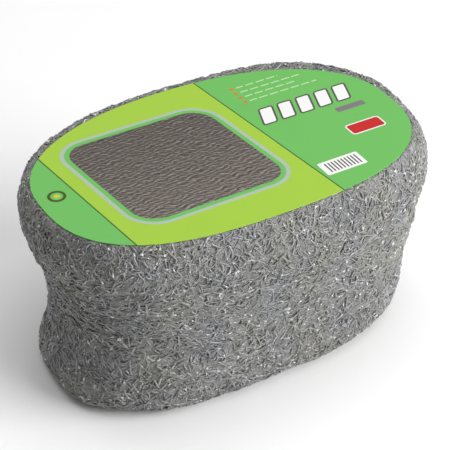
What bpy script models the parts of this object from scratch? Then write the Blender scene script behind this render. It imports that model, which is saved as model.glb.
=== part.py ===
"""A steel wool bundle: a long oval block wound from steel strands, with a printed card on its top.

Metres, +Z up. +X runs along the block and -Y is its front. The origin is at the middle of the
underside, where the block stands.
"""

import math

import bmesh
import bpy

COLLECTION_NAME = "steel_wool_bundle"

# The card: a flat oval that lies on the block, a little to the left of the block's own middle.
CARD_LENGTH = 0.229
CARD_THICKNESS = 0.0004
CARD_X = -0.0026
CARD_POINTS = 72

# Every outline is widest along this line. Its front half is squarer than its back half, so each
# half is a superellipse with an exponent of its own: 2 is an ellipse, and more is squarer.
WIDEST_Y = 0.0015
CARD_FRONT = 0.073
CARD_BACK = 0.069
FRONT_SQUARENESS = 2.7
CARD_BACK_SQUARENESS = 2.2
BLOCK_BACK_SQUARENESS = 2.4

# The block's flat top, and the gap that keeps the card's solid apart from it.
BLOCK_HEIGHT = 0.1275
CARD_GAP = 0.0003

# Height, then how far the block reaches to the left and right of the card's middle, and in front
# of and behind the widest line. The block flares at its foot, draws in at the waist, swells above
# it and rounds over to the top.
FOOT_EDGE = (0.0, 0.112, 0.107, 0.063, 0.059)
FOOT_TURN = (0.005, 0.119, 0.113, 0.069, 0.0645)
FOOT = (0.017, 0.120, 0.116, 0.0725, 0.0675)
LOWER_SIDE = (0.038, 0.1115, 0.117, 0.075, 0.0685)
WAIST = (0.061, 0.1085, 0.1165, 0.075, 0.0685)
UPPER_SIDE = (0.080, 0.1135, 0.1215, 0.0765, 0.069)
SWELL = (0.098, 0.1205, 0.127, 0.080, 0.072)
SHOULDER = (0.112, 0.1225, 0.127, 0.079, 0.0755)
TOP_TURN = (0.1225, 0.119, 0.1235, 0.076, 0.077)
TOP_EDGE = (BLOCK_HEIGHT, 0.116, 0.120, 0.073, 0.075)
SECTIONS = (FOOT_EDGE, FOOT_TURN, FOOT, LOWER_SIDE, WAIST,
            UPPER_SIDE, SWELL, SHOULDER, TOP_TURN, TOP_EDGE)

# Points round each section, and the smaller rings that keep the two ends of the block flat.
POINTS_ROUND = 32
FLAT_RINGS = (0.92, 0.55)
SMOOTHING = 1

WOOL_COLOUR = (0.235, 0.232, 0.225, 1.0)
CARD_COLOUR = (0.176, 0.543, 0.130, 1.0)


def clear_scene():
    for item in list(bpy.data.objects):
        bpy.data.objects.remove(item, do_unlink=True)


def new_collection(name):
    collection = bpy.data.collections.new(name)
    bpy.context.scene.collection.children.link(collection)
    return collection


def plain_material(name, colour, roughness, metallic):
    material = bpy.data.materials.new(name)
    material.use_nodes = True
    shader = material.node_tree.nodes["Principled BSDF"]
    shader.inputs["Base Color"].default_value = colour
    shader.inputs["Roughness"].default_value = roughness
    shader.inputs["Metallic"].default_value = metallic
    return material


def oval_outline(points, left, right, front, back, back_squareness, height):
    """One closed oval round the card's middle, whose four reaches may all differ."""
    outline = []
    for step in range(points):
        angle = 2.0 * math.pi * step / points
        across = math.cos(angle)
        along = math.sin(angle)
        power = 2.0 / (back_squareness if along > 0.0 else FRONT_SQUARENESS)
        reach_x = right if across > 0.0 else left
        reach_y = back if along > 0.0 else front
        x = math.copysign(abs(across) ** power, across) * reach_x
        y = math.copysign(abs(along) ** power, along) * reach_y
        outline.append((CARD_X + x, WIDEST_Y + y, height))
    return outline


def section_outline(section, scale):
    height, *reaches = section
    scaled = [reach * scale for reach in reaches]
    return oval_outline(POINTS_ROUND, *scaled, BLOCK_BACK_SQUARENESS, height)


def join_rings(cage, lower, upper):
    for step in range(POINTS_ROUND):
        after = (step + 1) % POINTS_ROUND
        cage.faces.new((lower[step], lower[after], upper[after], upper[step]))


def close_end(cage, ring, height, faces_up):
    middle = cage.verts.new((CARD_X, WIDEST_Y, height))
    for step in range(POINTS_ROUND):
        after = (step + 1) % POINTS_ROUND
        if faces_up:
            cage.faces.new((ring[step], ring[after], middle))
        else:
            cage.faces.new((ring[after], ring[step], middle))


def make_wool_bundle(collection):
    """The wound wool as one solid: a coarse cage of sections, smoothed to its soft outer form."""
    outlines = [section_outline(FOOT_EDGE, scale) for scale in reversed(FLAT_RINGS)]
    outlines += [section_outline(section, 1.0) for section in SECTIONS]
    outlines += [section_outline(TOP_EDGE, scale) for scale in FLAT_RINGS]

    cage = bmesh.new()
    rings = [[cage.verts.new(point) for point in outline] for outline in outlines]
    for lower, upper in zip(rings, rings[1:]):
        join_rings(cage, lower, upper)
    close_end(cage, rings[0], FOOT_EDGE[0], faces_up=False)
    close_end(cage, rings[-1], BLOCK_HEIGHT, faces_up=True)
    mesh = bpy.data.meshes.new("wool_bundle")
    cage.to_mesh(mesh)
    cage.free()
    mesh.shade_smooth()
    mesh.materials.append(plain_material("steel_wool", WOOL_COLOUR, 0.55, 0.8))

    bundle = bpy.data.objects.new("wool_bundle", mesh)
    collection.objects.link(bundle)
    smooth = bundle.modifiers.new("soft_form", "SUBSURF")
    smooth.levels = SMOOTHING
    smooth.render_levels = SMOOTHING
    return bundle


def make_label_card(collection):
    """The printed card, a thin flat oval lying on the wool."""
    outline = bpy.data.curves.new("label_card", "CURVE")
    outline.dimensions = "2D"
    outline.fill_mode = "BOTH"
    outline.extrude = CARD_THICKNESS / 2.0
    spline = outline.splines.new("POLY")
    spline.points.add(CARD_POINTS - 1)
    half = CARD_LENGTH / 2.0
    middle_height = BLOCK_HEIGHT + CARD_GAP + CARD_THICKNESS / 2.0
    oval = oval_outline(CARD_POINTS, half, half, CARD_FRONT, CARD_BACK, CARD_BACK_SQUARENESS, 0.0)
    for point, place in zip(spline.points, oval):
        point.co = (*place, 1.0)
    spline.use_cyclic_u = True
    outline.materials.append(plain_material("printed_card", CARD_COLOUR, 0.4, 0.0))

    card = bpy.data.objects.new("label_card", outline)
    card.location = (0.0, 0.0, middle_height)
    collection.objects.link(card)
    return card


clear_scene()
parts = new_collection(COLLECTION_NAME)
make_wool_bundle(parts)
make_label_card(parts)
bpy.context.view_layer.update()
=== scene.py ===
import math
import random

import bpy
import numpy as np
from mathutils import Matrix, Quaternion, Vector
from mathutils.bvhtree import BVHTree


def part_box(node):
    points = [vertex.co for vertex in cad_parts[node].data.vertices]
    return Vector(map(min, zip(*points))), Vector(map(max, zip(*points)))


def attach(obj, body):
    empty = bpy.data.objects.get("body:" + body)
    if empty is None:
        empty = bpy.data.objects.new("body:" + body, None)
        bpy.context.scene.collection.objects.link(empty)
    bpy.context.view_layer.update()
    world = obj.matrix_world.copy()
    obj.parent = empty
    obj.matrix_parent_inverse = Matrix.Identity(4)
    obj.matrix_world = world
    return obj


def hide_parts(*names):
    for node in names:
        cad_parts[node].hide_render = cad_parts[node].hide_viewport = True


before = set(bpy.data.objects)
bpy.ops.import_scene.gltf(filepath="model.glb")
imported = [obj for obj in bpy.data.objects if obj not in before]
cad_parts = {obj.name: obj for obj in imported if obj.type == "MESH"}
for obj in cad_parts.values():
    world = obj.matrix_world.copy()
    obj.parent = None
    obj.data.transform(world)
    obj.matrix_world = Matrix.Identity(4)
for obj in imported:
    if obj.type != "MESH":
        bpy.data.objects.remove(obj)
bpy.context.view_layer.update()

# ---------------------------------------------------------------------------------------------
# The mass of the wool. Steel is shaved into a loose sliver of strands, and the sliver is wound
# and pressed into one long oval block, which bulges where nothing holds it and creases where one
# turn meets the next. This piece is what shows between the strands that lie on the outside.

wool_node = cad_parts["wool_bundle"]
card_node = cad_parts["label_card"]
wool_low, wool_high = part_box("wool_bundle")
card_low, card_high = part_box("label_card")
card_middle = (card_low + card_high) / 2

MASS_VOXEL = 0.0017
MASS_OFF_GROUND = 0.0004
SWELL_SIZE = 0.04
SWELL_DEPTH = 0.0016
TUFT_SIZE = 0.006
TUFT_DEPTH = 0.0009

# Creases between the turns: height, how far it wanders, half its width, and its depth.
CREASES = ((0.031, 0.0020, 0.0030, 0.0010),
           (0.049, 0.0026, 0.0030, 0.0020),
           (0.063, 0.0018, 0.0026, 0.0018),
           (0.077, 0.0020, 0.0028, 0.0021),
           (0.092, 0.0022, 0.0026, 0.0014),
           (0.110, 0.0016, 0.0022, 0.0006))

# The wool stands a little outside its solid, and more or less so in places: angle round the block
# from +X in degrees, height, how far that reaches both ways, and how far out.
FULLNESS = 0.0003
FULLER = ((50.0, 0.118, 36.0, 0.022, 0.0036),
          (-30.0, 0.068, 38.0, 0.018, 0.0030),
          (150.0, 0.086, 40.0, 0.012, 0.0018),
          (150.0, 0.034, 40.0, 0.016, -0.0034))

# The wool rises to meet the card all round its edge, and stays this far below it.
SQUEEZE = 0.0005
CARD_CLEARANCE = 0.0001
CARD_MARGIN = 0.0005
RISE_WIDTH = 0.0035
RISE_REACH = 0.006

# A painted highlight: the colour of bright flecks on the strands that stand for glints of light.
PAINTED_GLINT = (0.8, 0.8, 0.8, 1.0)
# A lit and a shaded copy of the wool's grey: the ridges of the tangle get the lit one, and its
# hollows get painted shade.
WOOL_LIT_RIDGE = (0.29, 0.29, 0.283, 1.0)
# Painted shade, near black, for the holes in the tangle.
WOOL_PIT_SHADE = (0.05, 0.05, 0.048, 1.0)
WOOL_SHADED_HOLLOW = (0.19, 0.19, 0.184, 1.0)
STEEL_METALLIC = 0.2
STEEL_ROUGHNESS = 0.7

# The tangle drawn on the mass, in three layers: fineness, where the noise is read, half the width
# of a ridge, and how high it stands. The hollows between the ridges are painted darker, as painted
# shade. Patches and pits are noise too, given by their fineness; the pits are painted shade.
TANGLE = ((210.0, (0.3, 0.1, 0.7), 0.045, 1.0),
          (300.0, (0.9, 0.4, 0.2), 0.05, 0.75),
          (260.0, (0.5, 0.8, 0.1), 0.055, 0.5))
TANGLE_DEPTH = 0.0007
MASS_PATCHES = 55.0
MASS_PITS = 330.0
PIT_LEVEL = 0.37
PIT_EDGE = 9.0

# The block is about this much longer than it is wide.
PLAN_STRETCH = 1.6


def select_only(piece):
    bpy.ops.object.select_all(action="DESELECT")
    piece.select_set(True)
    bpy.context.view_layer.objects.active = piece


def add_and_apply(piece, kind, **settings):
    select_only(piece)
    modifier = piece.modifiers.new(kind.lower(), kind)
    for name, value in settings.items():
        setattr(modifier, name, value)
    bpy.ops.object.modifier_apply(modifier=modifier.name)


def cloud_texture(name, size):
    texture = bpy.data.textures.new(name, "CLOUDS")
    texture.noise_scale = size
    texture.noise_depth = 2
    return texture


def read_vectors(items, name):
    values = np.empty(len(items) * 3)
    items.foreach_get(name, values)
    return values.reshape(-1, 3)


def card_edge():
    """The card's outline in plan, as angles round its middle and the reach at each."""
    seen = {}
    for vertex in card_node.data.vertices:
        across = vertex.co.x - card_middle.x
        seen[round(math.atan2(vertex.co.y, across), 5)] = math.hypot(across, vertex.co.y)
    return sorted(seen), [seen[angle] for angle in sorted(seen)]


edge_angles, edge_reaches = card_edge()


def past_card(places):
    """How far outside the card's outline each place is in plan, and less than 0 under it."""
    across = places[:, 0] - card_middle.x
    angles = np.arctan2(places[:, 1], across)
    reaches = np.interp(angles, edge_angles, edge_reaches, period=2 * math.pi)
    return np.hypot(across, places[:, 1]) - reaches


def squeezed(gaps):
    """Gaps to a flat face: those under SQUEEZE are drawn in so that none of them closes."""
    return np.where(gaps > SQUEEZE, gaps, SQUEEZE * np.exp(gaps / SQUEEZE - 1))


def settle(piece, lowest=0.0):
    """Presses a piece down under the card and up off the surface that the block stands on."""
    places = read_vectors(piece.data.vertices, "co")
    past = past_card(places) - CARD_MARGIN
    ceiling = card_low.z - CARD_CLEARANCE + np.where(past > 0, past, 0)
    places[:, 2] = ceiling - squeezed(ceiling - places[:, 2])
    places[:, 2] = lowest + squeezed(places[:, 2] - lowest)
    piece.data.vertices.foreach_set("co", places.ravel())
    piece.data.update()


def crease_and_rise(piece):
    """Fills the block out, draws the creases in, and lifts the top to the card's edge."""
    places = read_vectors(piece.data.vertices, "co")
    ways_out = read_vectors(piece.data.vertex_normals, "vector")
    angles = np.arctan2(places[:, 1] * PLAN_STRETCH, places[:, 0])
    fullness = np.full(len(places), FULLNESS)
    for angle, height, half_angle, half_height, amount in FULLER:
        aside = (np.degrees(angles) - angle + 180) % 360 - 180
        above = places[:, 2] - height
        fullness += amount * np.exp(-(aside / half_angle) ** 2 - (above / half_height) ** 2)
    level = np.hypot(ways_out[:, 0], ways_out[:, 1])
    places += ways_out * (fullness * level)[:, None]
    for number, (height, wander, half_width, depth) in enumerate(CREASES):
        drift = np.sin(2 * angles + number) + 0.6 * np.sin(5 * angles + 2.1 * number)
        off = (places[:, 2] - height - wander * drift) / half_width
        fade = 0.6 + 0.4 * np.sin(3 * angles + 1.3 * number)
        places -= ways_out * (depth * fade * np.exp(-off * off))[:, None]
    past = past_card(places)
    near = np.clip(1 - past / RISE_WIDTH, 0, 1)
    top = card_low.z - CARD_CLEARANCE
    lifted = (places[:, 2] > top - RISE_REACH) & (ways_out[:, 2] > 0.25)
    places[:, 2] += np.where(lifted, near * (top - places[:, 2]), 0)
    piece.data.vertices.foreach_set("co", places.ravel())
    piece.data.update()


def form_tree(piece):
    return BVHTree.FromObject(piece, bpy.context.evaluated_depsgraph_get())


wool_mass = bpy.data.objects.new("wool_mass", wool_node.data.copy())
bpy.context.scene.collection.objects.link(wool_mass)
select_only(wool_mass)
bpy.ops.object.mode_set(mode="EDIT")
bpy.ops.mesh.select_all(action="SELECT")
bpy.ops.mesh.remove_doubles(threshold=0.00005)
bpy.ops.mesh.tris_convert_to_quads()
bpy.ops.object.mode_set(mode="OBJECT")
add_and_apply(wool_mass, "SUBSURF", levels=2, render_levels=2)
add_and_apply(wool_mass, "REMESH", mode="VOXEL", voxel_size=MASS_VOXEL)
add_and_apply(wool_mass, "SMOOTH", factor=0.5, iterations=6)
add_and_apply(wool_mass, "DISPLACE", texture=cloud_texture("swells", SWELL_SIZE),
              texture_coords="LOCAL", strength=SWELL_DEPTH * 2, mid_level=0.5)
crease_and_rise(wool_mass)
wool_form = form_tree(wool_mass)
add_and_apply(wool_mass, "DISPLACE", texture=cloud_texture("tufts", TUFT_SIZE),
              texture_coords="LOCAL", strength=TUFT_DEPTH * 2, mid_level=0.56)
settle(wool_mass, MASS_OFF_GROUND)
wool_mass.data.shade_smooth()


class Shade:
    """A material's value: arithmetic on it adds the Math nodes, and node() adds any other."""

    def __init__(self, tree, socket=None):
        self.tree = tree
        self.socket = socket

    def node(self, kind, settings=None, inputs=None, output=0):
        node = self.tree.nodes.new(kind)
        settings = dict(settings or {})
        stops = settings.pop("stops", ())
        for name, value in settings.items():
            setattr(node, name, value)
        if stops:
            ramp = node.color_ramp.elements
            while len(ramp) < len(stops):
                ramp.new(0.5)
            for element, (position, colour) in zip(ramp, stops):
                element.position = position
                element.color = colour
        for name, value in (inputs or {}).items():
            if isinstance(value, Shade):
                self.tree.links.new(value.socket, node.inputs[name])
            else:
                node.inputs[name].default_value = value
        return Shade(self.tree, node.outputs[output])

    def math(self, operation, first, second=0.0):
        return self.node("ShaderNodeMath", {"operation": operation}, {0: first, 1: second})

    def __add__(self, other):
        return self.math("ADD", self, other)

    def __radd__(self, other):
        return self.math("ADD", other, self)

    def __sub__(self, other):
        return self.math("SUBTRACT", self, other)

    def __rsub__(self, other):
        return self.math("SUBTRACT", other, self)

    def __mul__(self, other):
        return self.math("MULTIPLY", self, other)

    def __rmul__(self, other):
        return self.math("MULTIPLY", other, self)

    def __truediv__(self, other):
        return self.math("DIVIDE", self, other)

    def __abs__(self):
        return self.math("ABSOLUTE", self)

    def root(self):
        return self.math("SQRT", self)

    def sine(self):
        return self.math("SINE", self)

    def fraction(self):
        return self.math("FRACT", self)

    def most(self, other):
        return self.math("MAXIMUM", self, other)

    def least(self, other):
        return self.math("MINIMUM", self, other)

    def held(self):
        """The value held between 0 and 1."""
        return self.node("ShaderNodeClamp", {}, {0: self})

    def blend(self, under, over):
        """Two colours mixed by this value: the first where it is 0 and the second where it is 1."""
        return self.node("ShaderNodeMix", {"data_type": "RGBA"},
                         {0: self, 6: under, 7: over}, 2)

    def scatter(self, scale, detail=2.0, roughness=0.5, distortion=0.0):
        """Noise read at this place, as a value."""
        settings = {"Vector": self, "Scale": scale, "Detail": detail,
                    "Roughness": roughness, "Distortion": distortion}
        return self.node("ShaderNodeTexNoise", {}, settings)

    def moved(self, shift=(0, 0, 0), scale=(1, 1, 1)):
        return self.node("ShaderNodeMapping", {"vector_type": "POINT"},
                         {"Vector": self, "Location": shift, "Scale": scale})

    def part(self, name):
        """One axis of a vector."""
        return self.node("ShaderNodeSeparateXYZ", {}, {0: self}, "XYZ".index(name))


def ink(red, green, blue):
    """A colour given in the usual 0 to 255, as the linear one that a shader takes."""
    linear = []
    for value in (red, green, blue):
        share = value / 255
        linear.append(share / 12.92 if share <= 0.04045 else ((share + 0.055) / 1.055) ** 2.4)
    return (*linear, 1.0)


def new_material(name):
    material = bpy.data.materials.new(name)
    material.use_nodes = True
    tree = material.node_tree
    shader = tree.nodes["Principled BSDF"]
    start = Shade(tree)
    return material, shader, start


def link(shader, name, value):
    shader.id_data.links.new(value.socket, shader.inputs[name])


def object_place(start):
    return start.node("ShaderNodeTexCoord", output=3)


def worms(place, scale, shift, width):
    """Thin curling ridges, 1 along their middle and 0 past half their width."""
    noise = place.moved(shift=shift).scatter(scale, detail=1.0, roughness=0.4)
    return (1.0 - abs(noise - 0.5) / width).held()


def wool_mass_material():
    material, shader, start = new_material("wool_mass")
    place = object_place(start)
    near, far, deep = [worms(place, scale, shift, width) * stands
                       for scale, shift, width, stands in TANGLE]
    height = near.most(far).most(deep)
    patches = place.scatter(MASS_PATCHES, detail=3.0)
    # Painted shade: the tangle's hollows are painted darker than its ridges, mixed with random
    # patches of tone.
    lit_ridges_and_patches = (height * 0.75 + patches * 0.5 - 0.1).held()
    # Painted shade: near-black pits stand for holes in the tangle where only shade is seen.
    pit_shade = ((PIT_LEVEL - place.scatter(MASS_PITS, detail=1.0)) * PIT_EDGE).held()
    colour = lit_ridges_and_patches.blend(WOOL_SHADED_HOLLOW, WOOL_LIT_RIDGE)
    link(shader, "Base Color", pit_shade.blend(colour, WOOL_PIT_SHADE))
    link(shader, "Roughness", STEEL_ROUGHNESS - height * 0.12)
    link(shader, "Normal", start.node("ShaderNodeBump", {}, {
        "Strength": 1.0, "Distance": TANGLE_DEPTH, "Height": height}))
    shader.inputs["Metallic"].default_value = STEEL_METALLIC
    return material


wool_mass.data.materials.clear()
wool_mass.data.materials.append(wool_mass_material())
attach(wool_mass, "root")
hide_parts("wool_bundle")

# ---------------------------------------------------------------------------------------------
# The strands on the outside. Each is a shaving of low-carbon steel with a three-cornered section,
# curled as it left the cutter, and it holds by being tangled with its neighbours. They lie on
# the mass in every direction, flatter and more along the turns on the lower side.

STRAND_STEP = 0.0019
STRAND_POINTS = 13
STRAND_WIDTH = 0.0012
STRAND_SECTION = ((0.5, -0.22), (-0.5, -0.22), (0.08, 0.34))
STRANDS_A_PIECE = 2250
WEAVE_LEAST = 0.0003
WEAVE_MOST = 0.0008
WEAVE_SUNK = 0.35
LOOSE_SHARE = 0.02
LOOSE_WEAVE = 0.0014
END_TUCK = 0.0009
TUCK_STEEPNESS = 6.0
WAVES_LEAST = 8.0
WAVES_MOST = 16.0
CURL_KEPT = 0.72
CURL_NEW = 0.62
END_WIDTH = 0.3
END_TAPER = 0.35
WIDTH_LEAST = 0.65
WIDTH_MOST = 1.2
TWIST_A_STEP = 0.3
STRAND_MERGE = 0.000001
FIRST_SEED = 11

# Each strand has one cell of a square map, this many to a side, with an empty edge.
BAKE_CELLS = 48
CELL_EDGE = 0.06

# The strands' greys, each at the share of strands that are darker, and the cast that patches of
# them take. Small flecks of painted highlight, standing for glints of light off the steel, are
# painted bright into their colour.
STRAND_TONES = ((0.0, (0.21, 0.21, 0.204, 1.0)),
                (0.2, (0.25, 0.25, 0.243, 1.0)),
                (0.6, (0.27, 0.27, 0.263, 1.0)),
                (0.93, (0.295, 0.295, 0.29, 1.0)),
                (0.97, (0.36, 0.36, 0.36, 1.0)))
WARM_CAST = (1.05, 1.04, 0.97, 1.0)
COOL_CAST = (0.96, 0.97, 1.03, 1.0)
CAST_PATCHES = 38.0
HIGHLIGHT_FINENESS = 480.0
HIGHLIGHT_LEVEL = 0.70
HIGHLIGHT_EDGE = 14.0

# Faces turned further down than this are the underside's. Faces turned up past the other, and
# this far in under the card, can't be seen and have no strands.
UNDERSIDE_DOWN = -0.8
COVERED_UP = 0.3
COVERED_IN = -0.005

# Height, how widely the strands there are turned from the way of the winding, and their curl.
LAY = ((0.000, 0.9, 0.40),
       (0.042, 0.8, 0.34),
       (0.055, 0.35, 0.14),
       (0.092, 0.35, 0.14),
       (0.106, 1.2, 0.40),
       (0.125, 1.8, 0.48))

mass_centres = read_vectors(wool_mass.data.polygons, "center")
mass_normals = read_vectors(wool_mass.data.polygons, "normal")
mass_areas = np.empty(len(mass_centres))
wool_mass.data.polygons.foreach_get("area", mass_areas)


def lay_strand(rng, start):
    """The points of one strand: a curling walk over the wool that ends inside it."""
    heights, spreads, curls = zip(*LAY)
    spread = float(np.interp(start.z, heights, spreads))
    curl = float(np.interp(start.z, heights, curls))
    weave = rng.uniform(WEAVE_LEAST, WEAVE_MOST)
    if rng.random() < LOOSE_SHARE:
        weave = LOOSE_WEAVE
    surface, out, _, _ = wool_form.find_nearest(start)
    along = Vector((-surface.y, surface.x, 0.0))
    along = (along - out * along.dot(out)).normalized()
    heading = Quaternion(out, rng.gauss(0.0, spread)) @ along * rng.choice((-1.0, 1.0))
    turn = rng.gauss(0.0, curl)
    bob = rng.uniform(0.0, math.pi)
    waves = rng.uniform(WAVES_LEAST, WAVES_MOST)
    points = []
    for step in range(STRAND_POINTS):
        share = step / (STRAND_POINTS - 1)
        tucked = max(0.0, 1.0 - TUCK_STEEPNESS * min(share, 1.0 - share))
        lift = weave * (math.sin(bob + waves * share) - WEAVE_SUNK)
        points.append(surface + out * (lift * (1.0 - tucked) - END_TUCK * tucked))
        turn = CURL_KEPT * turn + rng.gauss(0.0, CURL_NEW * curl)
        heading = Quaternion(out, turn) @ heading
        heading = (heading - out * heading.dot(out)).normalized()
        surface, out, _, _ = wool_form.find_nearest(surface + heading * STRAND_STEP)
    return points


def add_spline(curve, points, width, roll, twist):
    spline = curve.splines.new("POLY")
    spline.points.add(len(points) - 1)
    last = len(points) - 1
    for index, (point, place) in enumerate(zip(spline.points, points)):
        point.co = (*place, 1.0)
        point.radius = width * min(1.0, END_WIDTH + END_TAPER * min(index, last - index))
        point.tilt = roll + twist * index


def section_object():
    """The strands' three-cornered section, which the curves sweep along their points."""
    outline = bpy.data.curves.new("strand_section", "CURVE")
    outline.dimensions = "2D"
    spline = outline.splines.new("POLY")
    spline.points.add(len(STRAND_SECTION) - 1)
    for point, (x, y) in zip(spline.points, STRAND_SECTION):
        point.co = (x * STRAND_WIDTH, y * STRAND_WIDTH, 0.0, 1.0)
    spline.use_cyclic_u = True
    section = bpy.data.objects.new("strand_section", outline)
    bpy.context.scene.collection.objects.link(section)
    return section


def map_strands(mesh, count, rng):
    """Gives each strand a cell of its own on one map, and its length and own tone on another.
    The mesh holds two caps for each strand, last strand first, and then each strand's sides."""
    sides = (STRAND_POINTS - 1) * len(STRAND_SECTION)
    of_face = np.concatenate([np.repeat(np.arange(count)[::-1], 2),
                              np.repeat(np.arange(count), sides)])
    corners = np.empty(len(mesh.polygons), dtype=np.int32)
    mesh.polygons.foreach_get("loop_total", corners)
    of_corner = np.repeat(of_face, corners)
    swept = np.empty(len(mesh.loops) * 2)
    mesh.uv_layers[0].uv.foreach_get("vector", swept)
    swept = swept.reshape(-1, 2)
    cells = np.stack([of_corner % BAKE_CELLS, of_corner // BAKE_CELLS], 1)
    baked = (cells + CELL_EDGE + (1 - 2 * CELL_EDGE) * swept) / BAKE_CELLS
    tones = rng.random(count)
    own = np.stack([swept[:, 0], tones[of_corner]], 1)
    mesh.uv_layers.remove(mesh.uv_layers[0])
    for name, values in (("strand", own), ("OFBake", baked)):
        mesh.uv_layers.new(name=name).uv.foreach_set("vector", values.ravel())


def make_strands(name, wanted, count, seed):
    """One piece of many strands, started at random over the wanted part of the mass."""
    rng = random.Random(seed)
    draws = np.random.default_rng(seed)
    odds = mass_areas * wanted
    starts = draws.choice(len(odds), count, p=odds / odds.sum())
    curve = bpy.data.curves.new(name, "CURVE")
    curve.dimensions = "3D"
    curve.fill_mode = "FULL"
    curve.use_fill_caps = True
    curve.bevel_mode = "OBJECT"
    curve.bevel_object = strand_section
    for start in starts:
        points = lay_strand(rng, Vector(mass_centres[start]))
        width = rng.uniform(WIDTH_LEAST, WIDTH_MOST)
        roll = rng.uniform(0.0, math.tau)
        add_spline(curve, points, width, roll, rng.gauss(0.0, TWIST_A_STEP))
    piece = bpy.data.objects.new(name, curve)
    bpy.context.scene.collection.objects.link(piece)
    select_only(piece)
    bpy.ops.object.convert(target="MESH")
    piece = bpy.context.active_object
    map_strands(piece.data, count, draws)
    bpy.ops.object.mode_set(mode="EDIT")
    bpy.ops.mesh.select_all(action="SELECT")
    bpy.ops.mesh.remove_doubles(threshold=STRAND_MERGE)
    bpy.ops.object.mode_set(mode="OBJECT")
    settle(piece)
    piece.data.shade_smooth()
    return piece


def steel_strand_material():
    material, shader, start = new_material("steel_strand")
    place = object_place(start)
    own = start.node("ShaderNodeUVMap", {"uv_map": "strand"})
    tone = own.part("Y")
    shade = start.node("ShaderNodeValToRGB", {"stops": STRAND_TONES}, {0: tone})
    patches = place.scatter(CAST_PATCHES, detail=2.0)
    cast = ((patches - 0.35) * 3.3).held().blend(COOL_CAST, WARM_CAST)
    colour = start.node("ShaderNodeMix", {"data_type": "RGBA", "blend_type": "MULTIPLY"},
                        {0: 1.0, 6: shade, 7: cast}, 2)
    # Painted highlight: small bright flecks painted into the colour stand for glints of light off
    # the steel.
    highlight_mask = ((place.scatter(HIGHLIGHT_FINENESS, detail=0.0) - HIGHLIGHT_LEVEL) * HIGHLIGHT_EDGE).held()
    link(shader, "Base Color", (highlight_mask * 0.8).blend(colour, PAINTED_GLINT))
    link(shader, "Roughness", STEEL_ROUGHNESS - tone * 0.15)
    shader.inputs["Metallic"].default_value = STEEL_METALLIC
    return material


on_left = mass_centres[:, 0] < 0
in_front = mass_centres[:, 1] < 0
below = mass_normals[:, 2] < UNDERSIDE_DOWN
covered = (past_card(mass_centres) < COVERED_IN) & (mass_normals[:, 2] > COVERED_UP)
shown_side = ~below & ~covered
strand_section = section_object()
steel_strand = steel_strand_material()
regions = {
    "strands_front_left": shown_side & in_front & on_left,
    "strands_front_right": shown_side & in_front & ~on_left,
    "strands_back_left": shown_side & ~in_front & on_left,
    "strands_back_right": shown_side & ~in_front & ~on_left,
    "strands_underside": below,
}
for number, (name, wanted) in enumerate(regions.items()):
    strands = make_strands(name, wanted, STRANDS_A_PIECE, FIRST_SEED + number)
    strands.data.materials.clear()
    strands.data.materials.append(steel_strand)
    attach(strands, "root")
    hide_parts("wool_bundle")
bpy.data.objects.remove(strand_section)

# ---------------------------------------------------------------------------------------------
# The card. A flat oval of coated card, printed in green and lime with plain shapes, lies on the
# top of the block. Its own solid has the right shape and stays; only its finish is made here.

GREEN = ink(108, 182, 93)
LIME = ink(158, 196, 65)
DARK_LINE = ink(56, 92, 46)
SILVER = ink(168, 184, 168)
WHITE = ink(234, 234, 232)
CHARCOAL = ink(84, 80, 80)
MID_GREY = ink(122, 118, 120)
PALE = ink(186, 216, 172)
ORANGE = ink(214, 110, 52)
RED = ink(190, 40, 38)
OLIVE = ink(70, 86, 30)
YELLOW = ink(196, 190, 60)
FIELD_DARK = ink(60, 54, 50)
FIELD_MIDDLE = ink(92, 86, 81)
FIELD_LIGHT = ink(150, 142, 136)
PRINT_SOFTNESS = 0.15

# The lime band and the panel in it, which lean the same way.
BAND_LEFT = 32.0
BAND_LEAN = 0.12
BAND_HALF = 60.0
PANEL_HALF_WIDTH = 46.0
PANEL_HALF_HEIGHT = 43.0
PANEL_CORNER = 14.0
BAND_LINE_HALF = 0.4
SILVER_RIM = 5.2
GREEN_RIM = 2.8

# The panel's fine lines, in three sets: pitch, lean, and how far each line wanders.
HATCH = ((2.3, 0.10, 9.0), (3.1, -0.16, 7.0), (1.7, 0.34, 5.0))
HATCH_TONE = 0.16

# Plain blocks, in millimetres from the card's middle: x, y, half width, half height, round of the
# corners, lean, the colour of the rim and its width, and the colour inside it.
BLOCKS = ((40.0, 16.0, 4.0, 7.5, 1.0, 0.35, CHARCOAL, 1.3, WHITE),
          (53.0, 16.0, 4.0, 7.5, 1.0, 0.35, CHARCOAL, 1.3, WHITE),
          (66.0, 16.0, 4.0, 7.5, 1.0, 0.35, CHARCOAL, 1.3, WHITE),
          (79.0, 16.0, 4.0, 7.5, 1.0, 0.35, CHARCOAL, 1.3, WHITE),
          (92.0, 16.0, 4.0, 7.5, 1.0, 0.35, CHARCOAL, 1.3, WHITE),
          (88.0, 0.0, 10.0, 2.4, 1.0, 0.0, MID_GREY, 0.1, MID_GREY),
          (84.0, -22.0, 11.0, 4.6, 1.5, 0.0, WHITE, 0.9, RED),
          (50.0, -48.0, 13.0, 6.0, 0.8, 0.0, WHITE, 0.3, WHITE))

# Rows of short pale bars, each with a dot before it: x of the dot, y, and length.
ROWS = ((36.0, 52.0, 30.0), (36.0, 46.5, 42.0), (36.0, 41.0, 36.0), (36.0, 35.5, 48.0))
DOT_RADIUS = 1.3
BAR_HALF = 0.5
BAR_PITCH = 7.5
BAR_SHARE = 0.78
BAR_CORNER = 0.2
DOT_GAP = 3.0

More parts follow.
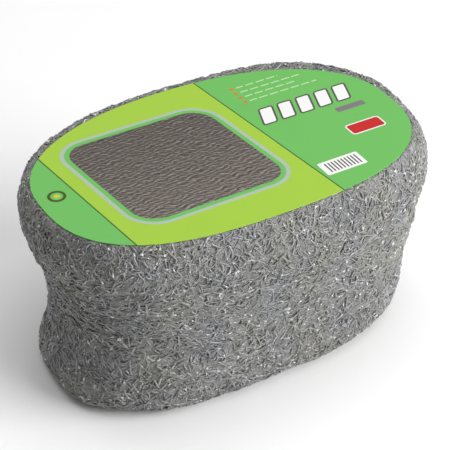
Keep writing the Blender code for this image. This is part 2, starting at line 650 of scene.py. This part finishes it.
# Stripes on the lowest white block, and the ring at the card's left end.
STRIPES_X = 50.0
STRIPES_Y = -48.0
STRIPES_HALF_WIDTH = 11.0
STRIPES_HALF_HEIGHT = 4.4
STRIPE_PITCH = 2.2
RING_X = -103.0
RING_Y = 4.0
RING_RADIUS = 4.4
RING_HALF = 0.9
RING_FILL_IN = 2.6


def inside(distance):
    """1 inside an outline and 0 outside it, from the distance out of it in millimetres."""
    return (0.5 - distance / PRINT_SOFTNESS).held()


def block_distance(x, y, half_width, half_height, corner):
    """How far outside a block with round corners each place is, in millimetres."""
    across = abs(x) - (half_width - corner)
    along = abs(y) - (half_height - corner)
    wide = across.most(0.0)
    high = along.most(0.0)
    return (wide * wide + high * high).root() + across.most(along).least(0.0) - corner


def disc_distance(x, y, radius):
    return (x * x + y * y).root() - radius


def printed_card_material():
    material, shader, start = new_material("printed_card")
    place = object_place(start).moved(shift=(-card_middle.x, -card_middle.y, -card_high.z))
    in_mm = place.moved(scale=(1000.0, 1000.0, 1000.0))
    x = in_mm.part("X")
    y = in_mm.part("Y")

    leaning = x + y * BAND_LEAN + BAND_LEFT
    band = abs(leaning) - BAND_HALF
    colour = inside(band - BAND_LINE_HALF).blend(GREEN, DARK_LINE)
    colour = inside(band + BAND_LINE_HALF).blend(colour, LIME)

    panel = block_distance(leaning, y, PANEL_HALF_WIDTH, PANEL_HALF_HEIGHT, PANEL_CORNER)
    colour = inside(panel - SILVER_RIM).blend(colour, SILVER)
    colour = inside(panel - GREEN_RIM).blend(colour, GREEN)
    fine = in_mm.scatter(0.11, detail=2.0)
    hatch = 0.0
    for pitch, lean, bend in HATCH:
        line = (y + x * lean + fine * bend) / pitch
        hatch = (line * math.tau).sine() * HATCH_TONE + hatch
    blotch = in_mm.scatter(0.5, detail=5.0, roughness=0.75)
    field = start.node("ShaderNodeValToRGB", {"stops": (
        (0.0, FIELD_DARK), (0.5, FIELD_MIDDLE), (1.0, FIELD_LIGHT))},
        {0: (hatch + blotch * 1.3 - 0.15 - y * 0.002).held()})
    colour = inside(panel).blend(colour, field)

    for left, low, half_width, half_height, corner, lean, rim, rim_width, fill in BLOCKS:
        up = y - low
        shape = block_distance(x - left - up * lean, up, half_width, half_height, corner)
        colour = inside(shape - rim_width).blend(colour, rim)
        colour = inside(shape).blend(colour, fill)

    stripes = block_distance(x - STRIPES_X, y - STRIPES_Y,
                             STRIPES_HALF_WIDTH, STRIPES_HALF_HEIGHT, BAR_CORNER)
    stripe = (abs(((x + 0.1) / STRIPE_PITCH).fraction() - 0.5) - 0.22) * STRIPE_PITCH
    colour = inside(stripes.most(stripe)).blend(colour, CHARCOAL)

    dash = (abs((x / BAR_PITCH).fraction() - 0.5) - BAR_SHARE / 2) * BAR_PITCH
    for left, low, length in ROWS:
        middle = left + DOT_GAP + length / 2
        row = block_distance(x - middle, y - low, length / 2, BAR_HALF, BAR_CORNER)
        colour = inside(row.most(dash)).blend(colour, PALE)
        colour = inside(disc_distance(x - left, y - low, DOT_RADIUS)).blend(colour, ORANGE)

    ring = disc_distance(x - RING_X, y - RING_Y, RING_RADIUS)
    colour = inside(abs(ring) - RING_HALF).blend(colour, OLIVE)
    colour = inside(ring + RING_FILL_IN).blend(colour, YELLOW)

    grain = in_mm.scatter(1.6, detail=4.0, roughness=0.7)
    buckle = in_mm.scatter(0.03, detail=1.0)
    link(shader, "Base Color", colour)
    link(shader, "Roughness", 0.58 + grain * 0.14)
    shader.inputs["Specular IOR Level"].default_value = 0.25
    link(shader, "Normal", start.node("ShaderNodeBump", {}, {
        "Strength": 0.5, "Distance": 0.001, "Height": buckle + grain * 0.015}))
    return material


card_node.material_slots[0].material = printed_card_material()

# ---------------------------------------------------------------------------------------------
# The floor, the lights and the camera. The block stands on a plain pale floor, under one large
# soft light from the front right, one overhead and a weak one from behind. The camera looks down
# on it from the front left through a long lens.

CAMERA_AZIMUTH = math.radians(-30.2)
CAMERA_ELEVATION = math.radians(33.9)
CAMERA_DISTANCE = 0.804
CAMERA_LENS = 112.0
LOOK_BELOW = 0.0436

# The sky is pale near the ground and dimmer above it. The heights are shares of a unit radius.
SKY_LOW = 0.8
SKY_ABOVE = 0.08
SKY_PALE_TO = 0.12
SKY_FADE = 0.15

FLOOR_SIZE = 8.0
FLOOR_PALE = (0.92, 0.92, 0.92, 1.0)

# Each soft light's name, place, size and power.
LIGHTS = (("key", (1.5, -1.7, 1.1), 1.8, 84.0),
          ("overhead", (0.3, 0.1, 3.0), 2.6, 53.0),
          ("back_fill", (-0.6, 2.2, 0.9), 1.4, 14.0))

backward = Vector((math.sin(CAMERA_AZIMUTH) * math.cos(CAMERA_ELEVATION),
                   -math.cos(CAMERA_AZIMUTH) * math.cos(CAMERA_ELEVATION),
                   math.sin(CAMERA_ELEVATION)))
rightward = Vector((math.cos(CAMERA_AZIMUTH), math.sin(CAMERA_AZIMUTH), 0.0))
upward = backward.cross(rightward)
seen_middle = card_middle + Vector((0.0, -0.002, 0.0))

camera_data = bpy.data.cameras.new("camera")
camera_data.lens = CAMERA_LENS
camera = bpy.data.objects.new("camera", camera_data)
camera.location = seen_middle + backward * CAMERA_DISTANCE
look = camera.location - (seen_middle - upward * LOOK_BELOW)
camera.rotation_euler = look.to_track_quat("Z", "Y").to_euler()
bpy.context.scene.collection.objects.link(camera)
bpy.context.scene.camera = camera

bpy.ops.mesh.primitive_plane_add(size=FLOOR_SIZE, location=(0.0, 0.0, 0.0))
floor = bpy.context.active_object
floor.name = "floor"
floor_material, floor_shader, _ = new_material("floor")
floor_shader.inputs["Base Color"].default_value = FLOOR_PALE
floor_shader.inputs["Roughness"].default_value = 0.9
floor.data.materials.append(floor_material)


def add_light(name, place, size, power):
    data = bpy.data.lights.new(name, "AREA")
    data.size = size
    data.energy = power
    light = bpy.data.objects.new(name, data)
    light.location = place
    light.rotation_euler = Vector(place).to_track_quat("Z", "Y").to_euler()
    bpy.context.scene.collection.objects.link(light)


for name, place, size, power in LIGHTS:
    add_light(name, place, size, power)

world = bpy.data.worlds.new("world")
bpy.context.scene.world = world
world.use_nodes = True
sky = world.node_tree.nodes["Background"]
height = Shade(world.node_tree).node("ShaderNodeTexCoord").part("Z")
pale = (1.0 - (height - SKY_PALE_TO) / SKY_FADE).held()
sky.inputs["Color"].default_value = (1.0, 1.0, 1.0, 1.0)
link(sky, "Strength", SKY_ABOVE + pale * (SKY_LOW - SKY_ABOVE))
bpy.context.scene.view_settings.view_transform = "Standard"
